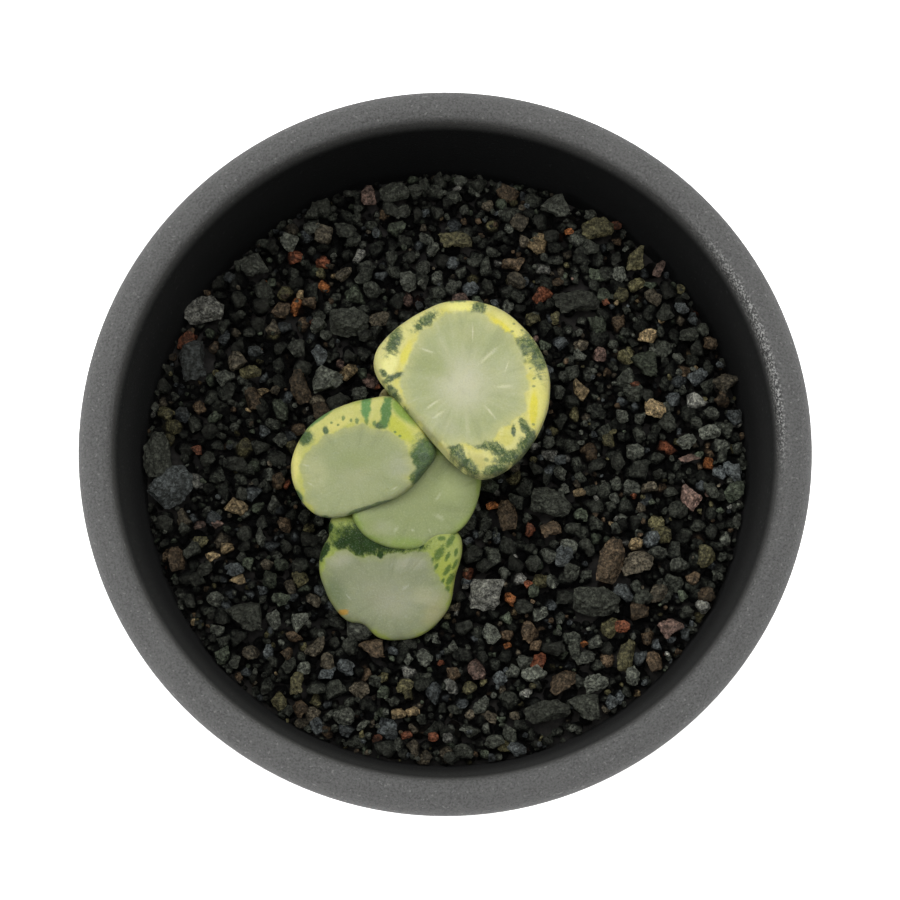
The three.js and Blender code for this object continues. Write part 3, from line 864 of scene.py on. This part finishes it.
def makeStem():
    profile = [(1.6, 39.2), (2.4, 40), (2.6, 41), (2.6, 44.5), (2.1, 46.4), (1.0, 47.3)]
    stem = drawnRound("stemAndRoots", profile, 24)
    pick(stem)
    inEditMode()
    closeEnds()
    bpy.ops.mesh.select_all(action="SELECT")
    bpy.ops.transform.translate(value=Vector((*buriedStem["middle"], 0)) * mm)
    inObjectMode()
    joined([stem, *(growRoot(i) for i in range(buriedStem["roots"]))])
    outwardNormals(stem)
    smoothed(stem, 60)
    return stem


def growRoot(i):
    rng = random.Random(i)
    bearing = 2 * math.pi * (i + 0.35) / buriedStem["roots"]
    outwards = Vector((math.cos(bearing), math.sin(bearing), 0))
    start = Vector((*buriedStem["middle"], buriedStem["rootsFrom"]))
    wander = buriedStem["rootWander"]
    path = [start + outwards * out - Vector((0, 0, down)) for out, down in buriedStem["rootPath"]]
    rings = []
    for step in range(15):
        way = step / 14
        middle, along = bezier(path, way)
        aside = Vector((rng.uniform(-wander, wander), rng.uniform(-wander, wander), 0))
        rings.append((middle + aside * min(1, 4 * way), along, 1 - (1 - buriedStem["rootTip"]) * way))
    root = startRing("root", 10, buriedStem["rootRadius"])
    inEditMode()
    pullAlong(rings)
    closeEnds()
    inObjectMode()
    return root


def rootLook():
    material, shader, start = newMaterial("root flesh", Roughness=0.75)
    place = start.node("TexCoord", output="Object")
    base = start.paint(buriedStem["flesh"])
    base = base.mixed(place.noise(700, 4, 0.6).ramp(0.4, 0.7), buriedStem["bark"])
    drive(shader, "Base Color", base)
    bumped(start, shader, place.noise(900, 3, 0.6), 0.15 * mm)
    return material


grit = {
    "level": 53.0,
    "wallRadius": 31.75,
    "seed": 11,
    "fillFrom": 50.7,  # the grains lie on the bed from here up
    "buried": 51.9,  # cruder rocks are good enough below this height
    "lowGrains": 700,
    "lowSizes": (1.2, 2.1),
    "topGrains": 2600,
    "topSizes": (0.75, 1.6),  # the smallest, and how much more the largest
    "crumbs": 900,
    "crumbSizes": (0.4, 0.8),
    "smallFrom": 0.9,
    "largeFrom": 1.35,
    "grainStretch": (0.9, 1.2),
    "grainRise": 0.28,  # of its size, from the heap up to a grain's middle
    "stoneRise": 0.08,
    "stoneWidth": 1.12,  # of the size in the list of stones, because cut rocks fill less than their box
    "stoneHeight": 0.85,
    "toneRange": (0.7, 2.1),  # how much darker or lighter a grain is than its tone
    "bed": (0.012, 0.011, 0.010),
    "bedGrains": (0.035, 0.032, 0.028),
}

rockSorts = {  # how many shapes, first seed, fineness, cuts
    "crumb": (6, 0, 2, 2),
    "grain": (9, 20, 3, 4),
    "stone": (8, 40, 4, 6),
}

heapSorts = {  # the rocks it is made of, seed
    "crumbs": ("crumb", 6),
    "grainsBelow": ("crumb", 11),
    "smallGrains": ("grain", 11),
    "largeGrains": ("grain", 11),
    "stones": ("stone", 6),
}

Tone = namedtuple("Tone", "share colour")
Grain = namedtuple("Grain", "x y z size tone shape")

tones = {  # share of the grains, colour
    "black": Tone(22, (0.016, 0.0175, 0.0145)),
    "dark": Tone(30, (0.034, 0.037, 0.030)),
    "grey": Tone(13, (0.072, 0.077, 0.064)),
    "greyGreen": Tone(7, (0.052, 0.062, 0.044)),
    "blueGrey": Tone(9, (0.055, 0.062, 0.064)),
    "brown": Tone(6, (0.072, 0.050, 0.031)),
    "greyBrown": Tone(5, (0.075, 0.064, 0.046)),
    "olive": Tone(4, (0.078, 0.071, 0.036)),
    "lightGrey": Tone(1.8, (0.165, 0.165, 0.148)),
    "tan": Tone(0.9, (0.210, 0.155, 0.085)),
    "pink": Tone(0.7, (0.130, 0.085, 0.070)),
    "rust": Tone(0.7, (0.120, 0.042, 0.022)),
    "orange": Tone(0.25, (0.230, 0.085, 0.030)),
}

# across, up, length, width, turned, tone: the stones that catch the eye, listed one by one
pickedStones = [
    (-25.5, 16.3, 3.9, 3.5, 0, "lightGrey"), (-26.4, 11.1, 4.3, 3.4, 80, "blueGrey"),
    (-20.0, 21.3, 2.9, 2.5, 0, "grey"), (-10.8, 15.0, 3.8, 2.9, 0, "dark"),
    (-12.3, 9.0, 3.1, 2.9, 60, "grey"), (-15.2, 8.1, 3.4, 2.4, 100, "brown"),
    (-23.0, 9.2, 2.0, 2.0, 0, "grey"), (-20.5, 9.7, 2.1, 1.7, 0, "olive"),
    (-10.2, 9.7, 1.9, 1.7, 30, "tan"), (-19.0, 7.7, 1.2, 0.9, 0, "tan"),
    (-8.1, 28.5, 2.1, 1.6, 90, "pink"), (-5.4, 29.1, 2.9, 2.5, 0, "dark"),
    (-30.0, 0.2, 4.7, 3.1, 90, "dark"), (-29.0, -3.0, 4.2, 3.6, 45, "blueGrey"),
    (1.2, 23.9, 3.4, 2.1, -10, "olive"), (12.0, 27.6, 2.9, 2.5, 20, "grey"),
    (16.1, 25.2, 3.1, 2.7, 0, "olive"), (17.9, 25.5, 1.2, 1.0, 0, "rust"),
    (20.3, 22.1, 2.9, 2.1, 60, "olive"), (22.5, 20.6, 1.9, 1.0, 60, "pink"),
    (14.0, 17.2, 4.7, 2.9, -5, "dark"), (17.0, 17.3, 0.8, 0.8, 0, "rust"),
    (14.1, 8.0, 2.3, 1.7, 110, "tan"), (29.7, 8.7, 2.6, 2.3, 10, "greyBrown"),
    (20.0, 8.4, 1.0, 0.8, 0, "rust"), (21.3, 10.6, 2.9, 2.7, 0, "greyGreen"),
    (27.7, 3.3, 2.1, 1.9, 0, "grey"), (19.6, 1.2, 1.7, 1.6, 0, "grey"),
    (13.1, 24.9, 0.9, 0.8, 0, "orange"), (-25.9, 1.4, 1.2, 1.0, 0, "rust"),
    (-13.8, 15.1, 0.9, 0.8, 0, "rust"), (-25.7, -6.5, 1.2, 1.0, 0, "pink"),
    (-23.7, -6.4, 1.2, 1.0, 0, "pink"), (-19.3, -7.6, 1.7, 1.2, 90, "grey"),
    (-24.1, -9.8, 1.5, 1.2, 0, "tan"), (-21.4, -12.3, 1.7, 1.0, 15, "tan"),
    (-27.9, -10.5, 2.3, 1.7, 100, "brown"), (-20.4, -16.2, 4.0, 2.9, 0, "dark"),
    (-9.3, -17.5, 2.5, 2.3, 0, "grey"), (-7.3, -19.5, 2.7, 1.9, 0, "brown"),
    (-15.1, -16.5, 2.1, 1.7, 90, "grey"), (-4.3, -23.3, 1.7, 1.6, 0, "olive"),
    (-15.3, -23.0, 2.5, 1.7, 70, "olive"), (-7.1, -28.8, 1.0, 0.9, 0, "rust"),
    (-4.0, -28.5, 1.1, 1.0, 0, "rust"), (-1.4, -28.7, 1.0, 0.9, 0, "rust"),
    (-5.0, -26.3, 1.5, 1.1, 0, "tan"), (-3.3, -26.1, 1.4, 1.2, 0, "tan"),
    (0.1, -28.8, 1.0, 1.0, 0, "lightGrey"), (4.3, -13.4, 3.9, 3.6, 60, "lightGrey"),
    (10.5, -4.1, 4.2, 2.9, -20, "dark"), (4.9, -4.5, 1.2, 1.0, 0, "orange"),
    (6.6, -6.0, 2.9, 1.9, 100, "brown"), (11.1, -7.0, 2.1, 1.9, 0, "brown"),
    (14.0, -3.1, 1.2, 1.1, 0, "tan"), (25.5, -3.4, 2.7, 2.3, 110, "pink"),
    (17.1, -11.1, 4.4, 2.5, 75, "brown"), (19.8, -10.5, 3.1, 2.9, 0, "greyBrown"),
    (14.9, -14.6, 4.4, 2.9, -5, "dark"), (23.6, -17.3, 2.5, 2.3, 0, "pink"),
    (8.7, -12.7, 0.9, 0.9, 0, "rust"), (6.5, -19.2, 0.8, 0.8, 0, "orange"),
    (14.5, -19.0, 0.8, 0.8, 0, "orange"), (18.1, -17.2, 1.5, 1.2, 0, "rust"),
    (18.8, -20.3, 3.1, 2.1, 70, "olive"), (9.6, -21.1, 1.9, 1.5, 60, "rust"),
    (12.0, -23.0, 2.9, 2.3, 20, "brown"), (15.3, -23.2, 2.5, 1.9, 10, "grey"),
    (10.5, -26.1, 4.4, 2.7, 5, "dark"), (14.8, -25.6, 3.5, 2.7, 0, "dark"),
    (21.8, -21.1, 1.9, 1.5, 110, "brown"), (25.7, 0.6, 2.1, 0.8, 10, "pink"),
    (14.4, -20.4, 1.9, 1.7, 0, "grey"),
]


def carveRock(name, seed, fineness, cuts):
    rng = random.Random(seed)
    clearSelection()
    bpy.ops.mesh.primitive_ico_sphere_add(subdivisions=fineness, radius=0.5)
    rock = named(bpy.context.object, name)
    inEditMode()
    bpy.ops.transform.vertex_random(offset=0.06, seed=seed)
    bpy.ops.transform.resize(value=(1, rng.uniform(0.72, 0.95), rng.uniform(0.6, 0.85)))
    for _ in range(cuts):
        side = Vector((rng.gauss(0, 1), rng.gauss(0, 1), rng.gauss(0, 1))).normalized()
        bpy.ops.mesh.select_all(action="SELECT")
        depth = rng.uniform(0.2, 0.36)
        bpy.ops.mesh.bisect(plane_co=side * depth, plane_no=side, use_fill=True, clear_outer=True)
    bpy.ops.mesh.select_all(action="SELECT")
    bpy.ops.mesh.quads_convert_to_tris()
    bpy.ops.mesh.remove_doubles(threshold=0.05)
    inObjectMode()
    for scale, strength in ((0.5, 0.32), (0.15, 0.17)):
        lumps = bpy.data.textures.new(name + " lumps", "CLOUDS")
        lumps.noise_scale = scale
        useModifier(rock, "DISPLACE", texture=lumps, strength=strength, mid_level=0.5, texture_coords="LOCAL")
    size = max(rock.dimensions)
    inEditMode()
    bpy.ops.transform.resize(value=(1 / size,) * 3, center_override=(0, 0, 0))
    bpy.ops.mesh.normals_make_consistent(inside=False)
    bpy.ops.uv.smart_project(angle_limit=math.radians(66), island_margin=0.03)
    inObjectMode()
    rock.data.uv_layers[0].name = "OFBake"
    smoothed(rock, 30)
    return rock


# Heights of the heap on a fine grid, so that each new grain settles in the lowest spot tried.
class Heap:
    def __init__(self, reach, start):
        self.cell = 0.2
        count = int(2 * (reach + 3) / self.cell)  # with room past the wall
        self.middle = count // 2
        self.heights = np.full((count, count), start)
        self.offsets = {}

    def near(self, x, y, radius):
        wide = max(1, round(radius / self.cell))
        if wide not in self.offsets:
            steps = np.arange(-wide, wide + 1)
            across, up = np.meshgrid(steps, steps, indexing="ij")
            inside = across ** 2 + up ** 2 <= wide ** 2
            away = (across ** 2 + up ** 2)[inside] * self.cell ** 2
            self.offsets[wide] = across[inside], up[inside], away
        across, up, away = self.offsets[wide]
        i, j = self.middle + round(x / self.cell), self.middle + round(y / self.cell)
        return i + across, j + up, away

    def level(self, x, y, radius):
        i, j, _ = self.near(x, y, radius)
        return float(self.heights[i, j].mean())

    def add(self, x, y, z, radius):
        i, j, away = self.near(x, y, radius)
        top = z + np.sqrt(np.maximum(0, radius ** 2 - away)) * 0.75
        self.heights[i, j] = np.maximum(self.heights[i, j], top)


# True where a leaf stands in the way of a grain.
def underLeaf(x, y, radius, columns):
    for cx, cy, long, short, turned in columns:
        bearing = math.atan2(y - cy, x - cx)
        edge = outlineRadius(long, short, turned, [], bearing)
        if math.hypot(x - cx, y - cy) < edge + 0.45 * radius:
            return True
    return False


def scatterGrit():
    rng = random.Random(grit["seed"])
    heap = Heap(grit["wallRadius"], grit["fillFrom"])
    columns = []  # where each leaf stands in the grit
    for leaf in leaves.values():
        place, _, share = min(leafRings(leaf), key=lambda ring: abs(ring[0].z - grit["level"]))
        long, short = leaf["halfLong"] * share, leaf["halfShort"] * share
        columns.append((place.x, place.y, long, short, leaf["turned"]))
    grains, shares = [], [tone.share for tone in tones.values()]

    # Drops a grain where the heap is lowest, of a few places tried.
    def settle(size, tries):
        best = None
        for _ in range(tries):
            radius = math.sqrt(rng.random()) * (grit["wallRadius"] - 0.5 * size)
            bearing = rng.uniform(0, 2 * math.pi)
            x, y = radius * math.cos(bearing), radius * math.sin(bearing)
            if underLeaf(x, y, 0.5 * size, columns):
                continue
            level = heap.level(x, y, 0.35 * size)
            if best is None or level < best[2]:
                best = (x, y, level)
        if best:
            x, y, level = best
            z = level + grit["grainRise"] * size
            heap.add(x, y, z, 0.5 * size)
            tone = rng.choices(list(tones), shares)[0]
            grains.append(Grain(x, y, z, size, tone, None))

    for _ in range(grit["lowGrains"]):
        settle(rng.uniform(*grit["lowSizes"]), 4)
    for x, y, long, wide, turned, tone in pickedStones:
        size = max(long, wide)
        z = grit["level"] + grit["stoneRise"] * size
        heap.add(x, y, z, 0.5 * size)
        grains.append(Grain(x, y, z, size, tone, (long, wide, turned)))
    smallest, more = grit["topSizes"]
    for _ in range(grit["topGrains"]):
        settle(smallest + more * rng.random() ** 1.7, 8)
    for _ in range(grit["crumbs"]):
        settle(rng.uniform(*grit["crumbSizes"]), 6)
    return grains


# The name of the heap that a grain belongs to.
def heapOf(grain):
    if grain.shape:
        return "stones"
    if grain.size < grit["smallFrom"]:
        return "crumbs"
    if grain.z < grit["buried"]:
        return "grainsBelow"
    return "smallGrains" if grain.size < grit["largeFrom"] else "largeGrains"


def placedCopy(rock, grain, rng):
    copy = rock.copy()
    copy.data = rock.data.copy()
    bpy.context.collection.objects.link(copy)
    copy.location = (grain.x * mm, grain.y * mm, grain.z * mm)
    if grain.shape:
        long, wide, turned = grain.shape
        wider, lower = grit["stoneWidth"] * mm, grit["stoneHeight"] * mm
        copy.rotation_euler = (0, 0, math.radians(turned))
        copy.scale = (wider * long, wider * wide, lower * min(long, wide))
    else:
        copy.rotation_euler = [rng.uniform(0, 6.28) for _ in range(3)]
        copy.scale = [grain.size * mm * rng.uniform(*grit["grainStretch"]) for _ in range(3)]
    return copy


# Moves a grain's UVs into a square of its own on a sheet with this many squares across.
def intoOwnSquare(copy, i, across):
    layer, margin = copy.data.uv_layers["OFBake"], 0.03
    spots = np.empty(2 * len(layer.data))
    layer.data.foreach_get("uv", spots)
    spots = spots.reshape(-1, 2) * (1 - 2 * margin) + margin
    spots = (spots + (i % across, i // across)) / across
    layer.data.foreach_set("uv", spots.ravel())


def placeGrains(name, grains, rocks, seed):
    rng = random.Random(seed)
    across = math.ceil(math.sqrt(len(grains)))
    copies = []
    for i, grain in enumerate(grains):
        copy = placedCopy(rng.choice(rocks), grain, rng)
        lighterFrontRight = 1.14 + 0.012 * grain.x - 0.007 * grain.y  # grains lighter towards the front and the right
        tone = shaded(tones[grain.tone].colour, rng.uniform(*grit["toneRange"]) * lighterFrontRight)
        count = len(copy.data.vertices)
        noted(copy, "grainColour", "FLOAT_VECTOR", np.tile(tone, count))
        noted(copy, "grainShift", "FLOAT", np.full(count, rng.uniform(0, 50)))
        intoOwnSquare(copy, i, across)
        copies.append(copy)
    heap = named(joined(copies), name)
    bpy.ops.object.transform_apply(location=True, rotation=True, scale=True)
    return heap


# Notes how far each point lies below the grains around it (mm), for painted light on the tops and painted
# shade lower down.
def noteDepths(heaps):
    cell, middle, places = 0.25, 140, {}  # the middle cell of a grid that reaches past the wall
    tops = np.full((2 * middle, 2 * middle), grit["fillFrom"])
    for heap in heaps:
        spots = np.empty(3 * len(heap.data.vertices))
        heap.data.vertices.foreach_get("co", spots)
        spots = spots.reshape(-1, 3) / mm
        cells = np.rint(spots[:, :2] / cell).astype(int) + middle
        np.maximum.at(tops, (cells[:, 0], cells[:, 1]), spots[:, 2])
        places[heap.name] = spots[:, 2], cells
    steps = range(-4, 5)
    around = sum(np.roll(tops, (i, j), (0, 1)) for i in steps for j in steps) / len(steps) ** 2
    for heap in heaps:
        heights, cells = places[heap.name]
        noted(heap, "grainDepth", "FLOAT", around[cells[:, 0], cells[:, 1]] - heights)


def gritLook():
    material, shader, start = newMaterial("volcanic grit", IOR=1.2)
    place = start.node("TexCoord", output="Object")
    tone = start.node("Attribute", {"attribute_name": "grainColour"}, output="Vector")
    shift = start.node("Attribute", {"attribute_name": "grainShift"}, output="Fac")
    moved = place.times((1000, 1000, 1000)).plus(shift)
    mottle = moved.noise(1.7, 5, 0.7)
    pits = moved.noise(4.5, 4, 0.75)
    lumps = start.node("TexVoronoi", {}, {"Vector": moved.plus(0.5 * pits), "Scale": 1.9}, output="Distance")
    hollow = start.node("Attribute", {"attribute_name": "grainDepth"}, output="Fac")
    base = tone.mixed(mottle.ramp(0.48, 0.64) * 0.7, tone.times((2.0, 2.0, 1.9)))
    base = base.mixed(mottle.ramp(0.48, 0.38) * 0.6, tone.times((0.2, 0.2, 0.2)))
    base = base.mixed(pits.ramp(0.52, 0.62) * 0.5, tone.times((3.4, 3.4, 3.1)))
    base = base.mixed(pits.ramp(0.48, 0.39) * 0.7, (0.002, 0.002, 0.002))
    base = base.mixed(lumps.ramp(0.45, 0.75) * 0.5, (0.002, 0.002, 0.002))
    base = base.mixed(hollow.ramp(-0.3, -0.9) * 0.12, (0.17, 0.17, 0.14))  # painted light on the tops
    base = base.mixed(hollow.ramp(-0.4, 0.2) * 0.98, (0.001, 0.001, 0.001))  # painted shade lower down
    drive(shader, "Base Color", base)
    drive(shader, "Roughness", 0.95 - 0.3 * pits)
    bumped(start, shader, mottle + 0.6 * pits - 0.6 * lumps, 0.6 * mm)
    return material


def makeGritBed():
    profile = [(22.0, 5.4), (23.5, 6.9), (31.5, 50.2), (30.4, 50.6)]
    profile += [(radius, grit["fillFrom"]) for radius in (24, 16, 8, 1)]
    bed = drawnRound("gritBed", profile, 96)
    pick(bed)
    inEditMode()
    closeEnds()
    inObjectMode()
    outwardNormals(bed)
    smoothed(bed, 40)
    return bed


def bedLook():
    material, shader, start = newMaterial("packed grit", Roughness=0.95)
    place = start.node("TexCoord", output="Object")
    lumps = place.node("TexVoronoi", {}, {"Vector": place, "Scale": 700}, output="Distance")
    base = start.paint(grit["bed"])
    base = base.mixed(place.noise(500, 3, 0.6).ramp(0.4, 0.7), grit["bedGrains"])
    drive(shader, "Base Color", base)
    bumped(start, shader, 1 - lumps, 0.8 * mm)
    return material


blackPot = makePot()
blackPot.data.materials.append(plasticLook())
print("pot", len(blackPot.data.polygons))

blades = {}
for name, leaf in leaves.items():
    blades[name] = makeLeaf(name, leaf)
    blades[name].data.materials.append(leafLook(name, leaf))
driedTip = makeDriedTip()
driedTip.data.materials.append(driedLook())
stem = makeStem()
stem.data.materials.append(rootLook())
print("leaves", [len(blade.data.polygons) for blade in blades.values()])

gritBed = makeGritBed()
gritBed.data.materials.append(bedLook())
gritSkin = gritLook()
grains = scatterGrit()
rocks = {}
for name, (count, seed, fineness, cuts) in rockSorts.items():
    rocks[name] = [carveRock(name, seed + i, fineness, cuts) for i in range(count)]
    print(name, "rocks", [len(rock.data.polygons) for rock in rocks[name]])

heaps = []
for name, (rock, seed) in heapSorts.items():
    chosen = [grain for grain in grains if heapOf(grain) == name]
    heap = placeGrains(name, chosen, rocks[rock], seed)
    heap.data.materials.clear()
    heap.data.materials.append(gritSkin)
    heaps.append(heap)
    print(name, len(chosen), len(heap.data.polygons))
noteDepths(heaps)
gritPieces = [gritBed, *heaps]
for rock in sum(rocks.values(), []):
    bpy.data.objects.remove(rock)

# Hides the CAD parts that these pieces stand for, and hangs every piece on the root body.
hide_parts("pot")
for name, node in {
    "backLeaf": "leaf_back", "leftLeaf": "leaf_left", "middleLeaf": "leaf_middle", "frontLeaf": "leaf_front",
}.items():
    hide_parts(node)
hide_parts("leaf_left")
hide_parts("stem_and_roots")
for piece in gritPieces:
    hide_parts("soil")
for piece in [blackPot, stem, driedTip, *blades.values(), *gritPieces]:
    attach(piece, "root")

lights = {  # place, aim, size, watts
    "window light": ((-0.80, -0.12, 0.50), (0, 0, 0.06), 0.30, 1.6),
    "ceiling light": ((0.0, 0.24, 1.15), (0, 0, 0.05), 0.95, 10.2),
    "fill light": ((0.70, -0.55, 0.65), (0, 0, 0.06), 0.5, 1.1),
}

view = {
    "distance": 0.380,
    "elevation": 80,
    "aimHeight": 0.062,
    "lens": 148.6,
    "shift": (0.0053, -0.0016),
}

clearSelection()
bpy.ops.mesh.primitive_plane_add(size=6)
ground = named(bpy.context.object, "ground")
paper, paperShader, _ = newMaterial("white paper", Roughness=0.9)
paperShader.inputs["Base Color"].default_value = (0.92, 0.92, 0.92, 1)
paperShader.inputs["Emission Color"].default_value = (1, 1, 1, 1)
paperShader.inputs["Emission Strength"].default_value = 1.0
ground.data.materials.append(paper)

# A white wall far round the table: it closes the view from the side, and gives and stops no light.
bpy.ops.mesh.primitive_cylinder_add(vertices=64, radius=2.8, depth=8, end_fill_type="NOTHING")
backdrop = named(bpy.context.object, "backdrop")
backdrop.data.materials.append(paper)
for rays in ("diffuse", "glossy", "transmission", "shadow"):
    setattr(backdrop, "visible_" + rays, False)

for name, (place, aim, size, watts) in lights.items():
    bpy.ops.object.light_add(type="AREA", location=place)
    lamp = named(bpy.context.object, name)
    lamp.data.size = size
    lamp.data.energy = watts
    lamp.rotation_euler = (Vector(aim) - Vector(place)).to_track_quat("-Z", "Y").to_euler()

world = bpy.data.worlds.new("bright room")
world.use_nodes = True
world.node_tree.nodes["Background"].inputs["Color"].default_value = (1, 1, 1, 1)
world.node_tree.nodes["Background"].inputs["Strength"].default_value = 0.19
bpy.context.scene.world = world
bpy.context.scene.view_settings.view_transform = "Standard"

elevation = math.radians(view["elevation"])
bpy.ops.object.camera_add(rotation=(math.radians(90) - elevation, 0, 0))
camera = bpy.context.object
backwards = Vector((0, -math.cos(elevation), math.sin(elevation)))
camera.location = Vector((0, 0, view["aimHeight"])) + backwards * view["distance"]
camera.data.lens = view["lens"]
camera.data.shift_x, camera.data.shift_y = view["shift"]
camera.data.clip_start = 0.01
bpy.context.scene.camera = camera
print("light and camera")
